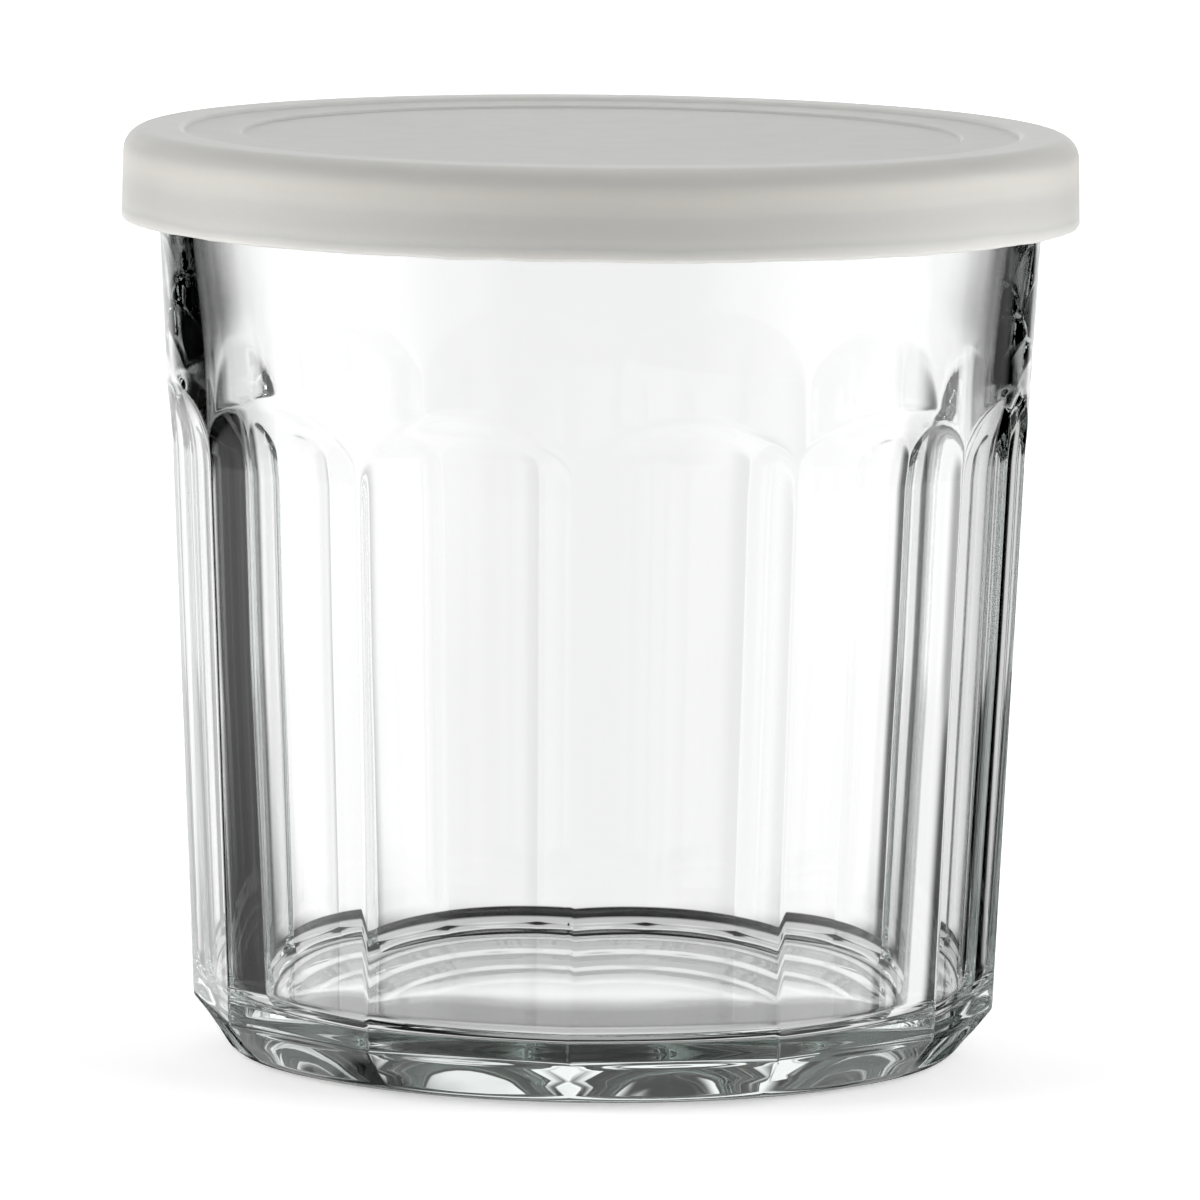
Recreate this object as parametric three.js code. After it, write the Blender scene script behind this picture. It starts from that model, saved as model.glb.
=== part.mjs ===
// Glass storage jar with a press-fit lid.
// Twelve-sided press-moulded tumbler jar: a round band under the mouth, twelve flat
// facets with arched tops, a bevelled base on a round foot ring, and a soft
// translucent lid whose bead closes over the rim.
// Millimetres, +Z up, origin at the centre of the foot, vertex of the facets on -Y.
import * as THREE from 'three';
import { mergeVertices } from 'three/addons/utils/BufferGeometryUtils.js';

// ---------- driving dimensions ----------
const FACETS = 12;
const COLUMNS_PER_FACET = 8;

// glass, outside
const BAND_R = 42.52, BAND_Z = 60.07, BAND_SLOPE = 0.0541;      // round band: radius at height, taper
const RIDGE_R = 40.36, RIDGE_Z = 11.85, RIDGE_SLOPE = 0.04405;  // facet corners: radius at height, taper
const ARCH_SPRING_Z = 59.6;   // where the flat facets start to curve outwards
const ARCH_TOP_Z = 67.4;      // where the middle of a facet meets the round band
const BEVEL_TOP_Z = 4.5;      // lower edge of the flat facets
const BEVEL_MID_Z = 2.2, BEVEL_MID_R = 38.15, BEVEL_MID_SQUARE = 0.62;
const BEVEL_LOW_Z = 0.55, BEVEL_LOW_R = 36.55, BEVEL_LOW_SQUARE = 0.12;
const FOOT_R_OUT = 35.6, FOOT_R_IN = 32.4;                       // flat ring that the jar stands on
const PUNT_DEPTH = 1.2;       // hollow under the base

// glass, inside
const FLOOR_Z = 5.95, FLOOR_DISH = 0.16;    // the floor sinks a little towards the middle
const CORNER_R = 2.3;         // rounding between floor and wall
const BORE_Z_TOP = 88.4;
const BORE_Z_BAND = 66.0, BORE_R_BAND = 39.15;  // bore radius at the foot of the band
const BORE_Z_KNEE = 39.0;
const SLOPE_BAND = 0.105, SLOPE_MID = 0.040, SLOPE_LOW = 0.062;  // taper in the band, in the middle, near the floor
const BORE_BLEND = 5.0;       // half the height over which one taper turns into the next
const RIM_Z = 90.2;           // top of the glass rim

// lid
const LID_Z = 91.8;           // top of the shoulder
const LID_LOW_Z = 82.9;       // lower edge of the skirt
const LID_R_LOW = 47.5, LID_R_TOP = 47.35, LID_CORNER = 2.3;
const LID_WALL = 1.3;
const SHOULDER_R_IN = 41.3, RECESS = 0.4;
const DISC_R = 35.6, DISC_STEP = 0.3, DISC_THICK = 1.1;
const SEAL_R_OUT = 41.1, SEAL_R_IN = 40.05, SEAL_Z = 88.2;       // ring that plugs the mouth
const BEAD_R = 44.2, BEAD_Z = 84.3;                              // retaining bead inside the skirt
const LID_COLUMNS = 60;

// ---------- outside of the glass as a radius over angle and height ----------
const HALF = Math.PI / FACETS;
const COS_HALF = Math.cos(HALF);
const bandRadius = (z) => BAND_R + BAND_SLOPE * (z - BAND_Z);
const ridgeRadius = (z) => RIDGE_R + RIDGE_SLOPE * (z - RIDGE_Z);

// distance of a facet from the axis: flat, then an arc that swings out to the band
const archRise = ARCH_TOP_Z - ARCH_SPRING_Z;
const flatAtTop = ridgeRadius(ARCH_TOP_Z) * COS_HALF;
const archGap = bandRadius(ARCH_TOP_Z) - flatAtTop;
function facetDistance(z) {
  const flat = ridgeRadius(z) * COS_HALF;
  if (z <= ARCH_SPRING_Z) return flat;
  const t = (z - ARCH_SPRING_Z) / archRise;
  return flat + archGap * t * t;
}

function outerRadius(angleFromMiddle, z) {
  const facet = facetDistance(z) / Math.cos(angleFromMiddle);
  return z < ARCH_SPRING_Z ? facet : Math.min(facet, bandRadius(z));
}

// bore: three tapers that run softly into each other
const softRamp = (t, w) => (t <= -w ? 0 : t >= w ? t : (t + w) ** 2 / (4 * w));
const boreRadius = (z) => BORE_R_BAND + SLOPE_MID * (z - BORE_Z_BAND)
  + (SLOPE_BAND - SLOPE_MID) * softRamp(z - BORE_Z_BAND, BORE_BLEND)
  - (SLOPE_LOW - SLOPE_MID) * softRamp(BORE_Z_KNEE - z, BORE_BLEND);
const BORE_LEAN = Math.atan(SLOPE_LOW);
const BORE_Z_LOW = FLOOR_Z + CORNER_R * (1 - Math.sin(BORE_LEAN));
const BORE_R_LOW = boreRadius(BORE_Z_LOW), BORE_R_TOP = boreRadius(BORE_Z_TOP);

// height at which a facet column reaches the round band
function archHeight(angleFromMiddle) {
  let lo = ARCH_SPRING_Z, hi = ARCH_TOP_Z;
  for (let i = 0; i < 50; i++) {
    const mid = (lo + hi) / 2;
    if (facetDistance(mid) / Math.cos(angleFromMiddle) < bandRadius(mid)) lo = mid;
    else hi = mid;
  }
  return (lo + hi) / 2;
}

// a ring between a polygon (square = 1) and a circle (square = 0) of the same corner radius
const blendRadius = (angleFromMiddle, cornerRadius, square) =>
  cornerRadius * (1 - square + square * COS_HALF / Math.cos(angleFromMiddle));

function glassRings() {
  const steps = COLUMNS_PER_FACET;
  const offsets = [];
  for (let i = 0; i < steps; i++) offsets.push(-HALF + (2 * HALF * i) / steps);
  const rings = [];
  const ring = (f) => rings.push(offsets.map((a) => f(a)));
  const round = (r, z) => ring(() => [r, z]);

  // underside, from the centre outwards
  for (const r of [10, 19, 26]) round(r, PUNT_DEPTH * (1 - (r / 31) ** 4) + 0.05);
  round(FOOT_R_IN - 1.4, 0.28);
  round(FOOT_R_IN, 0);
  round(FOOT_R_OUT, 0);
  // bevel from the round foot to the twelve-sided body
  ring((a) => [blendRadius(a, BEVEL_LOW_R, BEVEL_LOW_SQUARE), BEVEL_LOW_Z]);
  ring((a) => [blendRadius(a, BEVEL_MID_R, BEVEL_MID_SQUARE), BEVEL_MID_Z]);
  ring((a) => [outerRadius(a, BEVEL_TOP_Z), BEVEL_TOP_Z]);
  // flat facets
  for (const z of [23, 41, ARCH_SPRING_Z]) ring((a) => [outerRadius(a, z), z]);
  // arches: one ring through each crossing of a column with the round band
  const crossings = [];
  for (let i = 1; i <= steps / 2; i++) crossings.push(archHeight(-HALF + (2 * HALF * i) / steps));
  let last = ARCH_SPRING_Z;
  for (const z of crossings) {
    if (z - last > 1.6) {
      const m = (z + last) / 2;
      ring((a) => [outerRadius(a, m), m]);
    }
    ring((a) => [outerRadius(a, z), z]);
    last = z;
  }
  // round band and rim
  const lip = (bandRadius(RIM_Z - 1.6) - BORE_R_TOP) / 2;
  round(bandRadius(RIM_Z - lip), RIM_Z - lip);
  const lipMid = bandRadius(RIM_Z - lip) - lip;
  for (const d of [30, 60, 90, 120, 150]) {
    const t = (d * Math.PI) / 180;
    round(lipMid + lip * Math.cos(t), RIM_Z - lip + lip * Math.sin(t));
  }
  // bore
  for (const z of [BORE_Z_TOP, BORE_Z_BAND + 3, BORE_Z_BAND - 3, BORE_Z_KNEE]) round(boreRadius(z), z);
  // rounding between wall and floor, starting along the wall's own slope
  for (let i = 0; i <= 4; i++) {
    const t = BORE_LEAN + ((Math.PI / 2 - BORE_LEAN) * i) / 4;
    round(
      BORE_R_LOW - CORNER_R * (Math.cos(BORE_LEAN) - Math.cos(t)),
      BORE_Z_LOW - CORNER_R * (Math.sin(t) - Math.sin(BORE_LEAN)),
    );
  }
  for (const r of [22, 11]) round(r, FLOOR_Z - FLOOR_DISH * (1 - (r / (BORE_R_LOW - CORNER_R)) ** 2));
  return { rings, offsets };
}

function glassGeometry() {
  const { rings, offsets } = glassRings();
  const columns = FACETS * offsets.length;
  const positions = [], index = [];
  for (const ring of rings) {
    for (let f = 0; f < FACETS; f++) {
      for (let i = 0; i < offsets.length; i++) {
        const [r, z] = ring[i];
        // middle of the first facet lies half a facet past -Y
        const a = -Math.PI / 2 + HALF + f * 2 * HALF + offsets[i];
        positions.push(r * Math.cos(a), r * Math.sin(a), z);
      }
    }
  }
  const under = positions.length / 3;
  positions.push(0, 0, PUNT_DEPTH + 0.05);
  const floor = under + 1;
  positions.push(0, 0, FLOOR_Z - FLOOR_DISH);
  const at = (k, j) => k * columns + (j % columns);
  for (let k = 0; k + 1 < rings.length; k++) {
    for (let j = 0; j < columns; j++) {
      const a = at(k, j), b = at(k, j + 1), c = at(k + 1, j + 1), d = at(k + 1, j);
      // the diagonal follows the arch on both halves of a facet
      if (j % offsets.length < offsets.length / 2) index.push(a, b, c, a, c, d);
      else index.push(a, b, d, b, c, d);
    }
  }
  const top = rings.length - 1;
  for (let j = 0; j < columns; j++) {
    index.push(under, at(0, j + 1), at(0, j));
    index.push(floor, at(top, j), at(top, j + 1));
  }
  const geometry = new THREE.BufferGeometry();
  geometry.setAttribute('position', new THREE.Float32BufferAttribute(positions, 3));
  geometry.setIndex(index);
  geometry.computeVertexNormals();
  return geometry;
}

// ---------- lid, a turned profile that starts and ends on the axis ----------
function lidProfile() {
  const p = [];
  const add = (r, z) => p.push(new THREE.Vector2(r, z));
  const floor = LID_Z - RECESS;
  const under = RIM_Z + 0.3;                    // clear of the glass rim
  const inner = LID_R_TOP - LID_WALL;
  // underside, from the axis outwards
  add(0, floor - DISC_STEP - DISC_THICK);
  add(DISC_R, floor - DISC_STEP - DISC_THICK);
  add(SEAL_R_IN - 0.5, floor - DISC_STEP - DISC_THICK);
  add(SEAL_R_IN, SEAL_Z + 0.4);
  add((SEAL_R_IN + SEAL_R_OUT) / 2, SEAL_Z);
  add(SEAL_R_OUT, SEAL_Z + 0.5);
  add(SEAL_R_OUT, under - 0.2);
  add(SEAL_R_OUT + 0.3, under);
  add(inner - 0.6, under);
  add(inner, under - 0.6);
  add(inner + 0.05, BEAD_Z + 1.9);
  add(BEAD_R + 0.15, BEAD_Z + 0.6);
  add(BEAD_R, BEAD_Z);
  add(BEAD_R + 0.3, BEAD_Z - 0.5);
  add(LID_R_LOW - LID_WALL, LID_LOW_Z + 0.15);
  add(LID_R_LOW - LID_WALL * 0.6, LID_LOW_Z);
  add(LID_R_LOW - 0.25, LID_LOW_Z);
  add(LID_R_LOW, LID_LOW_Z + 0.25);
  // outside of the skirt, rounded corner, shoulder
  for (let d = 0; d <= 90; d += 18) {
    const t = (d * Math.PI) / 180;
    add(LID_R_TOP - LID_CORNER * (1 - Math.cos(t)), LID_Z - LID_CORNER * (1 - Math.sin(t)));
  }
  add(SHOULDER_R_IN + 0.5, LID_Z);
  add(SHOULDER_R_IN + 0.1, LID_Z - 0.15);
  add(SHOULDER_R_IN - 0.15, floor);
  // step down to the middle disc
  add(DISC_R + 0.2, floor);
  add(DISC_R - 0.15, floor - DISC_STEP);
  add(0, floor - DISC_STEP);
  return p;
}

const glass = new THREE.Mesh(
  glassGeometry(),
  new THREE.MeshStandardMaterial({ color: 0xe9f1ee, roughness: 0.03, metalness: 0, transparent: true, opacity: 0.35 }),
);
glass.name = 'glass_jar';

// LatheGeometry turns about Y, so the lid is stood up along +Z
const lidShape = new THREE.LatheGeometry(lidProfile(), LID_COLUMNS);
lidShape.deleteAttribute('normal');
lidShape.deleteAttribute('uv');
const lidGeometry = mergeVertices(lidShape, 1e-4);
lidGeometry.rotateX(Math.PI / 2);
lidGeometry.computeVertexNormals();
const lid = new THREE.Mesh(
  lidGeometry,
  new THREE.MeshStandardMaterial({ color: 0xdcdcd8, roughness: 0.45, metalness: 0 }),
);
lid.name = 'lid';

const jar = new THREE.Group();
jar.add(glass, lid);
export default jar;
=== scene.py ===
# Glass storage jar with a translucent press-fit lid: fine surfaces, materials, light and camera.
# Metres, +Z up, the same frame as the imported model. Image size taken as 1200 x 1200.
import bpy
import math
import numpy as np
from mathutils import Matrix, Vector, noise


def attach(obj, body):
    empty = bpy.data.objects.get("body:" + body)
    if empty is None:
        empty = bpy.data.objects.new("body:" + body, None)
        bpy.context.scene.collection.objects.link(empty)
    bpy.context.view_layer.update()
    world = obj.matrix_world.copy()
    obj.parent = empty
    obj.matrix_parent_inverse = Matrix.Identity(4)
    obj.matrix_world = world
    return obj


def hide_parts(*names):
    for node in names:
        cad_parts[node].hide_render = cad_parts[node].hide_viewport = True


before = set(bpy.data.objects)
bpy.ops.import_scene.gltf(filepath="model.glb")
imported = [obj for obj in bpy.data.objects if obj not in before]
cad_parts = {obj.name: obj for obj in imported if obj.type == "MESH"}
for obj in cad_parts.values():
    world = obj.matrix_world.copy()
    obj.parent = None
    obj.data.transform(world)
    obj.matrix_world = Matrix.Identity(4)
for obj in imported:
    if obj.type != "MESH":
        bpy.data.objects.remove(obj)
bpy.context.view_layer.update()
MM = 0.001

# ------------------------------------------------------------------ glass sizes (mm)
FACETS = 12
HALF = math.pi / FACETS
COS_HALF = math.cos(HALF)
BAND_R, BAND_Z, BAND_SLOPE = 42.52, 60.07, 0.0541
RIDGE_R, RIDGE_Z, RIDGE_SLOPE = 40.36, 11.85, 0.04405
ARCH_SPRING_Z, ARCH_TOP_Z = 59.6, 67.4
RIDGE_ROUND = 1.4            # rounding radius of the ridges between facets
ARCH_SOFT = 0.22             # softness of the crease round the arches
BEVEL_TOP_Z = 4.5
BEVEL_MID_Z, BEVEL_MID_R, BEVEL_MID_SQUARE = 2.2, 38.15, 0.62
BEVEL_LOW_Z, BEVEL_LOW_R, BEVEL_LOW_SQUARE = 0.55, 36.55, 0.12
FOOT_R_OUT, FOOT_R_IN, PUNT_DEPTH = 35.6, 32.4, 1.2
FLOOR_Z, FLOOR_DOME = 5.95, -0.16
CORNER_R = 2.3
BORE_Z_TOP = 88.4
BORE_Z_BAND, BORE_R_BAND = 66.0, 39.15                     # bore radius at the foot of the band
BORE_Z_KNEE = 39.0
SLOPE_BAND, SLOPE_MID, SLOPE_LOW = 0.105, 0.040, 0.062       # taper in the band, in the middle, near the floor
BORE_BLEND = 5.0                                           # half the height over which one taper turns into the next
BORE_LEAN = math.atan(SLOPE_LOW)
BORE_Z_LOW = FLOOR_Z + CORNER_R * (1 - math.sin(BORE_LEAN))
RIM_Z = 90.2


def band_radius(z):
    return BAND_R + BAND_SLOPE * (z - BAND_Z)


def ridge_radius(z):
    return RIDGE_R + RIDGE_SLOPE * (z - RIDGE_Z)


def facet_distance(z):
    flat = ridge_radius(z) * COS_HALF
    if z <= ARCH_SPRING_Z:
        return flat
    gap = band_radius(ARCH_TOP_Z) - ridge_radius(ARCH_TOP_Z) * COS_HALF
    t = (z - ARCH_SPRING_Z) / (ARCH_TOP_Z - ARCH_SPRING_Z)
    return flat + gap * t * t


def rounded_polygon(off, d, rho):
    """Radius of a 12-gon of inradius d with corners rounded to rho; off is the angle from the facet's middle."""
    a = HALF - np.abs(off)                     # angle from the corner
    c = (d - rho) / COS_HALF                   # centre of the corner rounding
    tangent = math.atan2(rho * math.sin(HALF), c + rho * COS_HALF)
    arc = c * np.cos(a) + np.sqrt(np.maximum(rho * rho - (c * np.sin(a)) ** 2, 0))
    return np.where(a < tangent, arc, d / np.cos(off))


def smooth_min(a, b, k):
    return np.minimum(a, b) - np.maximum(k - np.abs(a - b), 0) ** 2 / (4 * k)


def outer_radius(off, z):
    facet = rounded_polygon(off, facet_distance(z), RIDGE_ROUND)
    if z < ARCH_SPRING_Z - 6:
        return facet
    fade = min(1.0, max(0.0, (z - (ARCH_SPRING_Z - 6)) / 6))
    band = band_radius(z) + (1 - fade) * 0.5
    return smooth_min(facet, band, ARCH_SOFT)


def blend_radius(off, corner, square, rho):
    poly = rounded_polygon(off, corner * COS_HALF, rho)
    return corner * (1 - square) + poly * square


def soft_ramp(t, w):
    """Zero below -w, t above w, a parabola between."""
    if t <= -w:
        return 0.0
    return t if t >= w else (t + w) ** 2 / (4 * w)


def bore_radius(z):
    up, down = soft_ramp(z - BORE_Z_BAND, BORE_BLEND), soft_ramp(BORE_Z_KNEE - z, BORE_BLEND)
    return (BORE_R_BAND + SLOPE_MID * (z - BORE_Z_BAND) + (SLOPE_BAND - SLOPE_MID) * up
            - (SLOPE_LOW - SLOPE_MID) * down)


BORE_R_LOW, BORE_R_TOP = bore_radius(BORE_Z_LOW), bore_radius(BORE_Z_TOP)


# columns of one facet, closer together towards the ridges
def facet_offsets():
    near = [0, 0.1, 0.2, 0.3, 0.4, 0.52, 0.68, 0.9, 1.3, 1.9, 2.8, 4.0, 5.5, 7.3, 9.2, 11.1, 13.0]
    half = [HALF - math.radians(v) for v in near]       # from the ridge towards the middle
    left = [-v for v in half]                           # -HALF .. towards 0
    right = list(reversed(half))                        # towards +HALF
    return np.array(left + [0.0] + right[:-1])          # the last ridge belongs to the next facet


def glass_rings():
    off = facet_offsets()
    one = np.ones_like(off)
    rings = []

    def ring(r, z):
        rings.append((r * one, z * one))

    # underside: shallow punt inside a flat foot ring
    def punt(r):
        return PUNT_DEPTH * (1 - (min(r, 31.0) / 31.0) ** 4) + 0.05

    for r in (1.5, 4, 8, 12, 16, 20, 23, 25.5, 27.5, 29, 30):
        ring(r, punt(r))
    for r, z in ((30.7, 0.16), (31.4, 0.10), (31.9, 0.04), (32.4, 0.0)):
        ring(r, z)
    ring(33.2, 0.0)
    ring(34.4, 0.0)
    ring(35.2, 0.0)
    # bevel: heights, corner radii and how polygonal the outline is, smoothed through the named stations
    stations = [(0.0, FOOT_R_OUT, 0.0), (BEVEL_LOW_Z, BEVEL_LOW_R, BEVEL_LOW_SQUARE),
                (BEVEL_MID_Z, BEVEL_MID_R, BEVEL_MID_SQUARE), (BEVEL_TOP_Z, ridge_radius(BEVEL_TOP_Z), 1.0)]
    zs = [s[0] for s in stations]
    for t in np.linspace(0, 1, 15)[1:-1]:
        z = BEVEL_TOP_Z * t ** 1.25
        corner = float(np.interp(z, zs, [s[1] for s in stations]))
        square = float(np.interp(z, zs, [s[2] for s in stations]))
        rings.append((blend_radius(off, corner, square, 0.9), z * one))
    # a soft edge where the bevel meets the facets
    for dz in (-0.28, -0.14, 0.0, 0.14, 0.28):
        z = BEVEL_TOP_Z + dz
        lower = blend_radius(off, float(np.interp(z, zs, [s[1] for s in stations])) + max(dz, 0) * 0.85, 1.0, 0.9)
        upper = rounded_polygon(off, ridge_radius(z) * COS_HALF, RIDGE_ROUND)
        rings.append((smooth_min(lower, upper, 0.22), z * one))
    for z in (5.3, 6.5, 8.5, 11, 14, 17, 20, 24, 28, 32, 36, 40, 44, 48, 51, 53.6, 55, 56.4, 57.6, 58.6):
        rings.append((outer_radius(off, z), z * one))
    for z in np.arange(59.2, 69.01, 0.28):
        rings.append((outer_radius(off, float(z)), float(z) * one))
    for z in (70, 72, 74, 76, 78, 80, 82, 84, 86, 87.2, 88.0):
        ring(band_radius(z), z)
    # rim, full round
    lip = (band_radius(RIM_Z - 1.6) - BORE_R_TOP) / 2
    mid = band_radius(RIM_Z - lip) - lip
    for t in np.radians(np.linspace(0, 180, 17)):
        ring(mid + lip * math.cos(t), RIM_Z - lip + lip * math.sin(t))
    # bore
    for z in np.linspace(BORE_Z_TOP, BORE_Z_LOW, 60)[:-1]:
        ring(bore_radius(z), z)
    # rounding between wall and floor, starting along the wall's own slope
    lean = BORE_LEAN
    for t in np.linspace(lean, math.pi / 2, 25):
        ring(BORE_R_LOW - CORNER_R * (math.cos(lean) - math.cos(t)), BORE_Z_LOW - CORNER_R * (math.sin(t) - math.sin(lean)))
    edge = BORE_R_LOW - CORNER_R * math.cos(lean)
    for r in (edge - 0.7, edge - 2.2, edge - 4.2, 25, 22, 18, 14, 10, 6, 2.5):
        ring(r, FLOOR_Z + FLOOR_DOME * (1 - (r / edge) ** 2))
    return off, rings


def build_mesh(name, pos, quads, tris=()):
    mesh = bpy.data.meshes.new(name)
    faces = [tuple(q) for q in quads] + [tuple(t) for t in tris]
    mesh.from_pydata([tuple(p) for p in pos], [], faces)
    mesh.validate()
    mesh.update()
    mesh.polygons.foreach_set("use_smooth", [True] * len(mesh.polygons))
    obj = bpy.data.objects.new(name, mesh)
    bpy.context.scene.collection.objects.link(obj)
    return obj


def glass_object():
    off, rings = glass_rings()
    per = len(off)
    angles = np.concatenate([-math.pi / 2 + HALF + f * 2 * HALF + off for f in range(FACETS)])
    cols = len(angles)
    pos = []
    for r, z in rings:
        rr, zz = np.tile(r, FACETS), np.tile(z, FACETS)
        pos.append(np.stack([rr * np.cos(angles), rr * np.sin(angles), zz], 1))
    pos = np.concatenate(pos)
    n = len(rings)
    under, floor = len(pos), len(pos) + 1
    pos = np.concatenate([pos, [[0, 0, PUNT_DEPTH + 0.05], [0, 0, FLOOR_Z + FLOOR_DOME]]]) * MM
    quads, tris = [], []
    for k in range(n - 1):
        a, b = k * cols, (k + 1) * cols
        for j in range(cols):
            j2 = (j + 1) % cols
            quads.append((a + j, a + j2, b + j2, b + j))
    top = (n - 1) * cols
    for j in range(cols):
        j2 = (j + 1) % cols
        tris.append((under, j2, j))
        tris.append((floor, top + j, top + j2))
    return build_mesh("jar_glass", pos, quads, tris)


# ------------------------------------------------------------------ lid sizes (mm)
LID_Z, LID_LOW_Z = 91.8, 82.9
LID_R_LOW, LID_R_TOP, LID_CORNER, LID_WALL = 47.5, 47.35, 2.3, 1.3
SHOULDER_R_IN, RECESS = 41.3, 0.4
DISC_R, DISC_STEP, DISC_THICK = 35.6, 0.3, 1.1
SEAL_R_OUT, SEAL_R_IN, SEAL_Z = 41.1, 40.05, 88.2
BEAD_R, BEAD_Z = 44.2, 84.3


def fillet(points, default=0.15, steps=4):
    """A turned profile with its corners rounded. Each point is (r, z) or (r, z, rounding)."""
    out = [np.array(points[0][:2], float)]
    for i in range(1, len(points) - 1):
        p0, p1, p2 = (np.array(points[i + d][:2], float) for d in (-1, 0, 1))
        rad = points[i][2] if len(points[i]) > 2 else default
        u, v = p0 - p1, p2 - p1
        lu, lv = np.linalg.norm(u), np.linalg.norm(v)
        cut = min(rad, lu * 0.45, lv * 0.45)
        if cut < 1e-3:
            out.append(p1)
            continue
        a, b = p1 + u / lu * cut, p1 + v / lv * cut
        for t in np.linspace(0, 1, steps + 1):
            out.append((1 - t) ** 2 * a + 2 * t * (1 - t) * p1 + t * t * b)
    out.append(np.array(points[-1][:2], float))
    return out


def lid_profile():
    top = LID_Z - RECESS
    under = RIM_Z + 0.3
    inner = LID_R_TOP - LID_WALL
    low = top - DISC_STEP - DISC_THICK
    p = [(0, low), (20, low), (DISC_R, low), (SEAL_R_IN - 0.5, low, 0.5), (SEAL_R_IN, SEAL_Z + 0.4, 0.3),
         ((SEAL_R_IN + SEAL_R_OUT) / 2, SEAL_Z, 0.4), (SEAL_R_OUT, SEAL_Z + 0.5, 0.3), (SEAL_R_OUT, under - 0.2, 0.2),
         (SEAL_R_OUT + 0.3, under, 0.2), (inner - 0.6, under, 0.4), (inner, under - 0.6, 0.4),
         (inner + 0.05, BEAD_Z + 1.9, 0.6), (BEAD_R + 0.15, BEAD_Z + 0.6, 0.4), (BEAD_R, BEAD_Z, 0.3),
         (BEAD_R + 0.3, BEAD_Z - 0.5, 0.3), (LID_R_LOW - LID_WALL, LID_LOW_Z + 0.15, 0.5),
         (LID_R_LOW - LID_WALL * 0.6, LID_LOW_Z, 0.2), (LID_R_LOW - 0.2, LID_LOW_Z, 0.12), (LID_R_LOW, LID_LOW_Z + 0.2, 0.12)]
    for z in np.linspace(LID_LOW_Z + 0.8, LID_Z - LID_CORNER - 0.4, 9):
        k = (z - LID_LOW_Z) / (LID_Z - LID_CORNER - LID_LOW_Z)
        p.append((LID_R_LOW + (LID_R_TOP - LID_R_LOW) * k, z, 0.0))
    for d in np.linspace(0, 90, 15):
        t = math.radians(d)
        p.append((LID_R_TOP - LID_CORNER * (1 - math.cos(t)), LID_Z - LID_CORNER * (1 - math.sin(t)), 0.0))
    p += [(44.2, LID_Z, 0.0), (43, LID_Z, 0.0), (SHOULDER_R_IN + 0.45, LID_Z, 0.3), (SHOULDER_R_IN + 0.05, top, 0.2),
          (39, top, 0.0), (37, top, 0.0), (DISC_R + 0.2, top, 0.15), (DISC_R - 0.1, top - DISC_STEP, 0.15)]
    for r in (34, 31, 27, 22, 16, 10, 5):
        p.append((r, top - DISC_STEP, 0.0))
    p.append((0, top - DISC_STEP))
    return fillet(p)


def lid_object():
    prof = lid_profile()
    cols = 288
    ang = np.linspace(0, 2 * math.pi, cols, endpoint=False)
    inner = prof[1:-1]
    pos = []
    for r, z in inner:
        x, y = r * np.cos(ang), r * np.sin(ang)
        zz = np.full(cols, z)
        rr = np.full(cols, r)
        if z < LID_LOW_Z + 0.5 and r > 45:
            # the trimmed lower edge isn't perfectly even
            for j, a in enumerate(ang):
                v = Vector((math.cos(a) * 9, math.sin(a) * 9, 0.3))
                zz[j] += 0.10 * noise.noise(v) + 0.05 * noise.noise(v * 4.0)
                zz[j] = max(zz[j], LID_LOW_Z - 0.12)
        pos.append(np.stack([rr * np.cos(ang), rr * np.sin(ang), zz], 1))
    pos = np.concatenate(pos)
    n = len(inner)
    a0, a1 = len(pos), len(pos) + 1
    pos = np.concatenate([pos, [[0, 0, prof[0][1]], [0, 0, prof[-1][1]]]]) * MM
    quads, tris = [], []
    for k in range(n - 1):
        a, b = k * cols, (k + 1) * cols
        for j in range(cols):
            j2 = (j + 1) % cols
            quads.append((a + j, a + j2, b + j2, b + j))
    top = (n - 1) * cols
    for j in range(cols):
        j2 = (j + 1) % cols
        tris.append((a0, j2, j))
        tris.append((a1, top + j, top + j2))
    return build_mesh("lid_soft", pos, quads, tris)


# ------------------------------------------------------------------ materials
def new_material(name):
    m = bpy.data.materials.new(name)
    m.use_nodes = True
    nt = m.node_tree
    nt.nodes.clear()
    out = nt.nodes.new("ShaderNodeOutputMaterial")
    bsdf = nt.nodes.new("ShaderNodeBsdfPrincipled")
    nt.links.new(bsdf.outputs["BSDF"], out.inputs["Surface"])
    return m, nt, bsdf, out


def glass_material():
    m, nt, b, out = new_material("clear_glass")
    b.inputs["Base Color"].default_value = (1, 1, 1, 1)
    b.inputs["Roughness"].default_value = 0.0
    b.inputs["IOR"].default_value = 1.52
    b.inputs["Transmission Weight"].default_value = 1.0
    absorb = nt.nodes.new("ShaderNodeVolumeAbsorption")
    absorb.inputs["Color"].default_value = (0.66, 0.86, 0.80, 1)
    absorb.inputs["Density"].default_value = 3.5
    nt.links.new(absorb.outputs["Volume"], out.inputs["Volume"])
    return m


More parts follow.
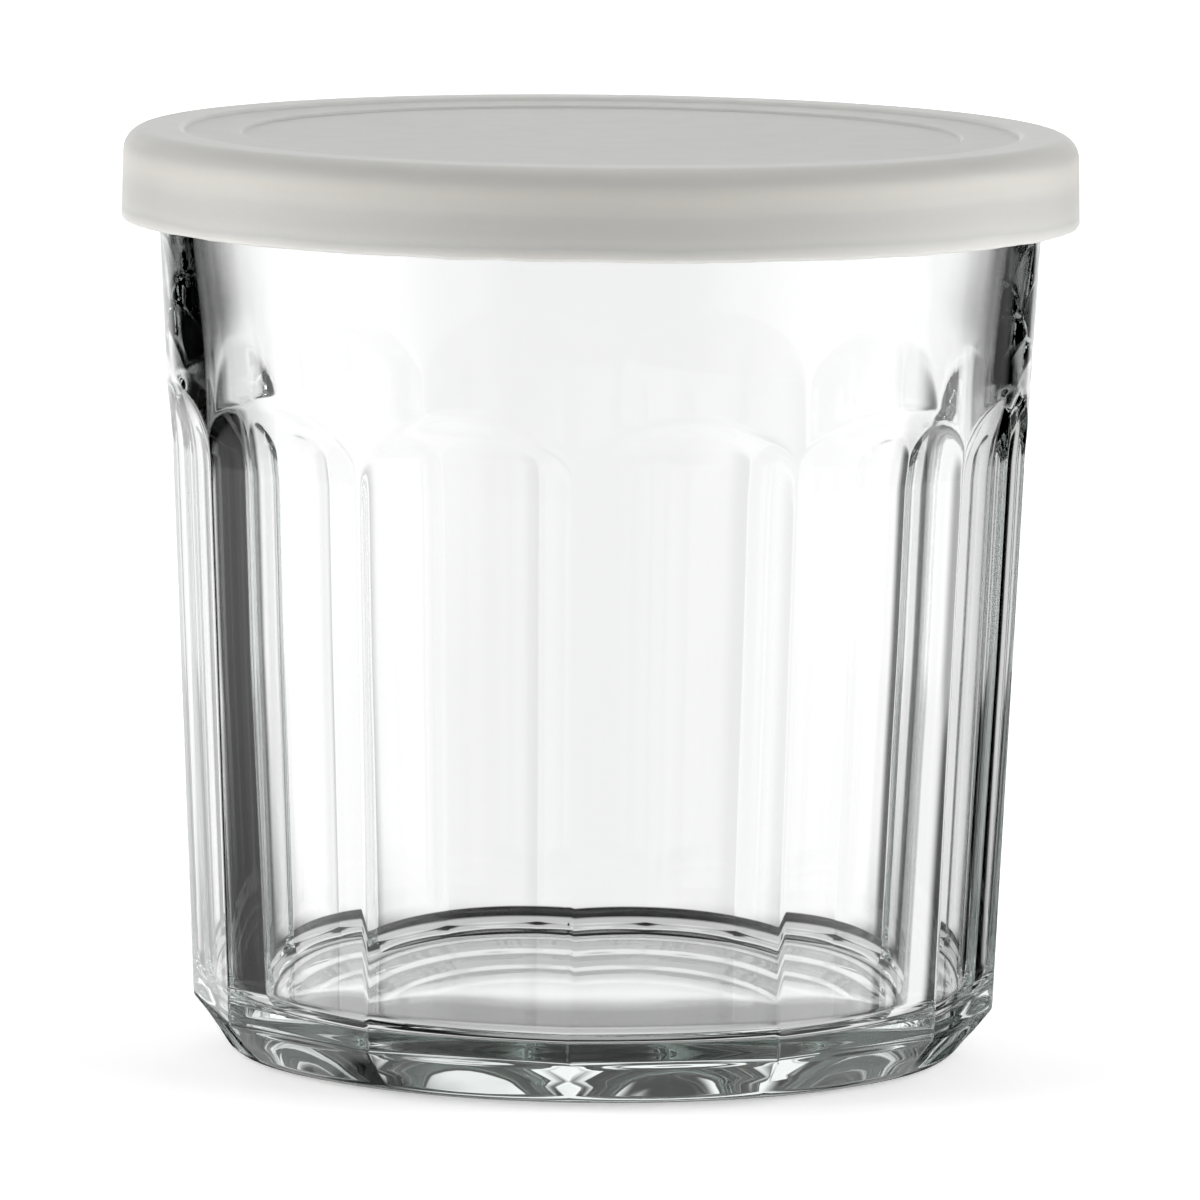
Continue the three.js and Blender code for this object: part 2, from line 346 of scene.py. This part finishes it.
class Nodes:
    """Short forms for building a node tree."""

    def __init__(self, nt):
        self.nt = nt

    def new(self, kind):
        return self.nt.nodes.new(kind)

    def put(self, socket, v):
        if isinstance(v, (int, float, tuple)):
            socket.default_value = v
        else:
            self.nt.links.new(v, socket)

    def op(self, kind, a, b=0.0, clamp=False):
        n = self.new("ShaderNodeMath")
        n.operation = kind
        n.use_clamp = clamp
        self.put(n.inputs[0], a)
        self.put(n.inputs[1], b)
        return n.outputs[0]

    def step(self, v, lo, hi, out_lo=0.0, out_hi=1.0):
        n = self.new("ShaderNodeMapRange")
        n.interpolation_type = "SMOOTHSTEP"
        self.put(n.inputs["Value"], v)
        n.inputs["From Min"].default_value = lo
        n.inputs["From Max"].default_value = hi
        n.inputs["To Min"].default_value = out_lo
        n.inputs["To Max"].default_value = out_hi
        return n.outputs["Result"]

    def mix(self, k, a, b):
        n = self.new("ShaderNodeMix")
        self.put(n.inputs[0], k)
        self.put(n.inputs[2], a)
        self.put(n.inputs[3], b)
        return n.outputs[0]

    def mix_colour(self, k, a, b):
        n = self.new("ShaderNodeMix")
        n.data_type = "RGBA"
        self.put(n.inputs[0], k)
        self.put(n.inputs[6], a)
        self.put(n.inputs[7], b)
        return n.outputs[2]

    def tint(self, colour, k):
        """A colour times a grey factor."""
        n = self.new("ShaderNodeVectorMath")
        n.operation = "SCALE"
        self.put(n.inputs[0], colour)
        self.put(n.inputs["Scale"], k)
        return n.outputs["Vector"]

    def place(self):
        """Object position in metres and its parts, and the distance from the axis."""
        pos = self.new("ShaderNodeTexCoord").outputs["Object"]
        part = self.new("ShaderNodeSeparateXYZ")
        self.put(part.inputs[0], pos)
        x, y, z = part.outputs
        radius = self.op("SQRT", self.op("ADD", self.op("MULTIPLY", x, x), self.op("MULTIPLY", y, y)))
        return pos, x, y, z, radius

    def scaled(self, v, scale):
        n = self.new("ShaderNodeMapping")
        self.put(n.inputs["Vector"], v)
        n.inputs["Scale"].default_value = scale
        return n.outputs["Vector"]

    def noise(self, v, scale, detail=2.0, rough=0.5):
        n = self.new("ShaderNodeTexNoise")
        self.put(n.inputs["Vector"], v)
        n.inputs["Scale"].default_value = scale
        n.inputs["Detail"].default_value = detail
        n.inputs["Roughness"].default_value = rough
        return n.outputs[0]


# painted light and shade on the skirt, standing in for the glass rim and the bead showing through it, the shade under
# the shoulder and the lighter lower edge; from its lower edge up: height above the edge in mm, brightness, warmth
SKIRT_PAINTED_LIGHT_BANDS = ((0.0, 1.20, 0.3), (0.55, 1.14, 0.3), (0.95, 1.02, 0.2), (1.15, 0.93, -0.2), (1.4, 0.99, 0.2),
               (1.75, 1.03, 0.3), (2.3, 0.97, 0.3), (3.1, 0.945, 0.3), (4.05, 0.95, 0.3), (4.6, 1.03, 0.7),
               (5.8, 1.08, 1.0), (6.4, 1.05, 1.0), (7.0, 0.96, 0.7), (7.5, 0.88, 0.3), (8.1, 0.92, 0.3), (8.6, 1.0, 0.3))
PAINTED_BAND_STRENGTH = 0.9
LID_TONE = (0.560, 0.560, 0.546)
LID_WARM = (0.572, 0.556, 0.522)
# how much lighter the shoulder is painted than the recess: painted light
SHOULDER_PAINTED_LIGHT = 1.10


def lid_material():
    """Milky polyethylene: soft light inside it, faint bands of painted light and shade on the skirt where the glass
    rim and the bead would show through, a shoulder painted lighter and a little painted shade in the middle of the
    top, a fine satin grain, and a few specks on top."""
    m, nt, b, out = new_material("milky_plastic")
    g = Nodes(nt)
    pos, x, y, z, radius = g.place()
    # painted light and shade in bands on the skirt, slightly uneven round the lid
    streak = g.noise(g.scaled(pos, (22.0, 22.0, 900.0)), 1.0, 3.0, 0.55)
    cloud = g.noise(pos, 45.0, 2.0)
    waver = g.op("ADD", g.op("MULTIPLY", g.op("SUBTRACT", cloud, 0.5), 0.0016),
                 g.op("MULTIPLY", g.op("SUBTRACT", streak, 0.5), 0.0005))
    level = g.op("DIVIDE", g.op("SUBTRACT", g.op("ADD", z, waver), LID_LOW_Z * MM), (LID_Z - LID_LOW_Z) * MM)
    # the skirt's colour ramp: bands of painted light and shade from the lower edge up
    ramp = g.new("ShaderNodeValToRGB")
    g.put(ramp.inputs[0], level)
    ramp.color_ramp.interpolation = "B_SPLINE"
    stops = ramp.color_ramp.elements
    while len(stops) < len(SKIRT_PAINTED_LIGHT_BANDS):
        stops.new(0.5)
    for stop, (height, bright, warm) in zip(stops, SKIRT_PAINTED_LIGHT_BANDS):
        stop.position = height / (LID_Z - LID_LOW_Z)
        tone = 1 + (bright - 1) * PAINTED_BAND_STRENGTH
        stop.color = tuple(tone * (c * (1 - warm) + w * warm) for c, w in zip(LID_TONE, LID_WARM)) + (1,)
    # the flat top: the shoulder painted lighter than the recess (painted light), the middle painted slightly darker
    # (painted shade), mottled a little
    top = g.mix(g.step(radius, 0.0409, 0.0416), 1.0, SHOULDER_PAINTED_LIGHT)
    # painted shade: the middle of the top made a little darker
    top = g.mix(g.step(radius, 0.0350, 0.0362), g.op("MULTIPLY", top, 0.985), top)
    flat = g.tint(LID_TONE, top)
    skirt = g.step(radius, 0.0452, 0.0466)
    colour = g.mix_colour(skirt, flat, ramp.outputs["Color"])
    mottle = g.op("ADD", g.op("MULTIPLY", g.op("SUBTRACT", cloud, 0.5), 0.05),
                  g.op("MULTIPLY", g.op("SUBTRACT", streak, 0.5), 0.05))
    colour = g.tint(colour, g.op("ADD", 1.0, mottle))
    # specks: dust and tiny pits, dark and sparse
    cells = g.new("ShaderNodeTexVoronoi")
    g.put(cells.inputs["Vector"], pos)
    cells.inputs["Scale"].default_value = 230.0
    pick = g.new("ShaderNodeSeparateColor")
    g.put(pick.inputs[0], cells.outputs["Color"])
    speck = g.op("MULTIPLY", g.op("LESS_THAN", pick.outputs[0], 0.05),
                 g.step(cells.outputs["Distance"], 0.075, 0.035))
    colour = g.tint(colour, g.op("SUBTRACT", 1.0, g.op("MULTIPLY", speck, 0.45)))
    g.put(b.inputs["Base Color"], colour)
    # satin surface
    grain = g.noise(pos, 2600.0, 2.0, 0.6)
    swirl = g.noise(pos, 260.0, 2.0)
    rough = g.op("ADD", LID_ROUGH, g.op("MULTIPLY", g.op("SUBTRACT", swirl, 0.5), 0.14))
    g.put(b.inputs["Roughness"], g.op("SUBTRACT", rough, g.op("MULTIPLY", speck, 0.1)))
    bump = g.new("ShaderNodeBump")
    bump.inputs["Strength"].default_value = 0.35
    bump.inputs["Distance"].default_value = 0.00005
    g.put(bump.inputs["Height"], g.op("ADD", grain, g.op("MULTIPLY", streak, 0.7)))
    g.put(b.inputs["Normal"], bump.outputs["Normal"])
    b.inputs["IOR"].default_value = 1.5
    b.inputs["Subsurface Weight"].default_value = 1.0
    b.inputs["Subsurface Radius"].default_value = (1.0, 0.98, 0.9)
    b.inputs["Subsurface Scale"].default_value = 0.0011
    return m


LID_ROUGH = 0.40


# ------------------------------------------------------------------ stage
AZ, EL, ROLL = math.radians(3.1), math.radians(6.97), math.radians(0.62)
DIST, FOCAL_PX = 1.140, 11448.0


def camera():
    back = Vector((math.sin(AZ) * math.cos(EL), -math.cos(AZ) * math.cos(EL), math.sin(EL)))
    right = Vector((math.cos(AZ), math.sin(AZ), 0))
    up = back.cross(right)
    target = right * 0.00035 + Vector((0, 0, 0.04485))
    r = right * math.cos(ROLL) + up * math.sin(ROLL)
    u = up * math.cos(ROLL) - right * math.sin(ROLL)
    data = bpy.data.cameras.new("camera")
    data.sensor_fit = "HORIZONTAL"
    data.sensor_width = 36
    data.lens = 36 * FOCAL_PX / 1200
    data.clip_start, data.clip_end = 0.05, 50
    cam = bpy.data.objects.new("camera", data)
    bpy.context.scene.collection.objects.link(cam)
    m = Matrix((r, u, back)).transposed().to_4x4()
    m.translation = target + back * DIST
    cam.matrix_world = m
    bpy.context.scene.camera = cam
    return cam


glass = glass_object()
glass.data.materials.append(glass_material())
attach(glass, "root")
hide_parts("glass_jar")

lid = lid_object()
lid.data.materials.append(lid_material())
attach(lid, "root")
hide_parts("lid")

camera()



def surroundings():
    """A small studio seen by direction: a white backdrop behind the jar, a dark flag on each side of it,
    tall soft lights beside the jar, a dim room above and behind, and pale ground below."""
    w = bpy.data.worlds.new("studio")
    bpy.context.scene.world = w
    w.use_nodes = True
    nt = w.node_tree
    nt.nodes.clear()
    new, link = nt.nodes.new, nt.links.new

    def put(socket, v):
        if isinstance(v, (int, float)):
            socket.default_value = v
        else:
            link(v, socket)

    def op(kind, a, b=0.0):
        n = new("ShaderNodeMath")
        n.operation = kind
        put(n.inputs[0], a)
        put(n.inputs[1], b)
        return n.outputs[0]

    def step(v, lo, hi):
        n = new("ShaderNodeMapRange")
        n.interpolation_type = "SMOOTHSTEP"
        link(v, n.inputs["Value"])
        n.inputs["From Min"].default_value = math.radians(lo)
        n.inputs["From Max"].default_value = math.radians(hi)
        return n.outputs["Result"]

    def mix(k, a, b):
        n = new("ShaderNodeMix")
        put(n.inputs[0], k)
        put(n.inputs[2], a)
        put(n.inputs[3], b)
        return n.outputs[0]

    where = new("ShaderNodeTexCoord").outputs["Generated"]

    def along(v):
        n = new("ShaderNodeVectorMath")
        n.operation = "DOT_PRODUCT"
        link(where, n.inputs[0])
        n.inputs[1].default_value = v
        return n.outputs["Value"]

    side, ahead = along((math.cos(AZ), math.sin(AZ), 0)), along((-math.sin(AZ), math.cos(AZ), 0))
    azimuth = op("ARCTAN2", side, ahead)
    height = op("ARCSINE", along((0, 0, 1)))

    # round the horizon, from the left rear over the middle of the backdrop to the right rear
    around = ROOM_BACK
    for lo, hi, value in AROUND:
        around = mix(step(azimuth, lo, hi), around, value)
    # upwards: the flags end, and the backdrop ends in the dim room above it
    behind = op("MULTIPLY", step(azimuth, -75, -60), step(azimuth, 62, 50))
    above = mix(behind, ROOM_TOP_SIDE, ROOM_TOP_BACK)
    level = mix(step(height, *TOP_EDGE), around, above)
    level = mix(step(height, *TOP_FADE), level, ROOM_TOP)
    # downwards: pale ground, but behind the jar the far edge of the table is dark, then paler, then shaded again
    near = op("MULTIPLY", step(azimuth, -80, -72), step(azimuth, 56, 44))
    turn = op("ABSOLUTE", azimuth)
    front = step(turn, 118, 140)
    for lo, hi, pale, dark, room in GROUND:
        level = mix(step(height, hi, lo), level, mix(front, mix(near, pale, dark), room))

    # soft light for everything that isn't glass: a large light on each side, a dim room towards the photographer
    dome = mix(step(turn, *DOME_TURN), DOME_BACK, DOME_FRONT)
    sides = op("MULTIPLY", step(turn, *DOME_SIDE_IN), step(turn, *DOME_SIDE_OUT))
    dome = op("ADD", dome, op("MULTIPLY", sides, DOME_SIDE))
    rear = op("MULTIPLY", step(turn, 50, 20), step(height, 15, 35))
    dome = op("ADD", dome, op("MULTIPLY", rear, DOME_REAR))
    dome = mix(step(height, *DOME_TOP_EDGE), dome, DOME_TOP)
    seen = new("ShaderNodeLightPath")
    value = mix(seen.outputs["Is Diffuse Ray"], level, dome)
    value = mix(seen.outputs["Is Camera Ray"], value, 1.0)
    bg = new("ShaderNodeBackground")
    link(value, bg.inputs["Color"])
    bg.inputs["Strength"].default_value = 1.0
    out = new("ShaderNodeOutputWorld")
    link(bg.outputs[0], out.inputs["Surface"])
    w.cycles.sampling_method = "NONE"


DOME_TURN = (80.0, 130.0)
DOME_BACK, DOME_FRONT, DOME_SIDE, DOME_REAR, DOME_TOP = 0.5, 0.2, 2.65, 1.45, 0.15
DOME_SIDE_IN, DOME_SIDE_OUT, DOME_TOP_EDGE = (52.0, 82.0), (140.0, 104.0), (35.0, 75.0)

# brightness round the horizon in degrees from the backdrop's middle: from, to, brightness after that step
ROOM_BACK = 0.12
AROUND = ((-160, -130, 1.05), (-95, -85, 1.4), (-73, -64, 0.0), (-30, -20, 1.03), (8, 14, 0.9), (15, 21, 0.0),
          (38, 44, 0.3), (49, 58, 1.0), (66, 71, 1.6), (98, 128, 0.7), (135, 160, 0.12))
TOP_EDGE = (13.0, 17.0)
TOP_FADE = (40.0, 60.0)
ROOM_TOP_BACK, ROOM_TOP_SIDE, ROOM_TOP = 0.04, 0.7, 0.35
# from, to, brightness of the ground below that step: to the sides, behind the jar, towards the photographer
GROUND = ((-12.0, -9.8, 0.95, 0.0, 0.1), (-28.0, -23.0, 0.95, 0.62, 0.2), (-37.0, -34.0, 0.95, 0.85, 0.5),
          (-45.0, -42.0, 0.95, 0.0, 0.95), (-75.0, -60.0, 1.0, 0.4, 1.0))


FLOOR_GLOW = 0.4             # the floor is a light table


def floor():
    n = 48
    pos = [(0, 0, 0)] + [(9 * math.cos(2 * math.pi * k / n), 9 * math.sin(2 * math.pi * k / n), 0) for k in range(n)]
    mesh = bpy.data.meshes.new("floor")
    mesh.from_pydata([(x, y, -0.0002) for x, y, _ in pos], [], [(0, 1 + k, 1 + (k + 1) % n) for k in range(n)])
    obj = bpy.data.objects.new("floor", mesh)
    bpy.context.scene.collection.objects.link(obj)
    m, nt, b, out = new_material("pale_floor")
    b.inputs["Base Color"].default_value = (0.93, 0.93, 0.93, 1)
    b.inputs["Roughness"].default_value = 0.9
    b.inputs["Specular IOR Level"].default_value = 0.1
    b.inputs["Emission Color"].default_value = (1, 1, 1, 1)
    b.inputs["Emission Strength"].default_value = FLOOR_GLOW
    mesh.materials.append(m)
    obj.visible_transmission = False
    obj.visible_glossy = False


surroundings()
floor()

sc = bpy.context.scene
sc.view_settings.view_transform = "Standard"
sc.view_settings.look = "None"
sc.cycles.max_bounces = 32
sc.cycles.transmission_bounces = 32
sc.cycles.glossy_bounces = 24
sc.cycles.diffuse_bounces = 6
sc.cycles.use_denoising = True
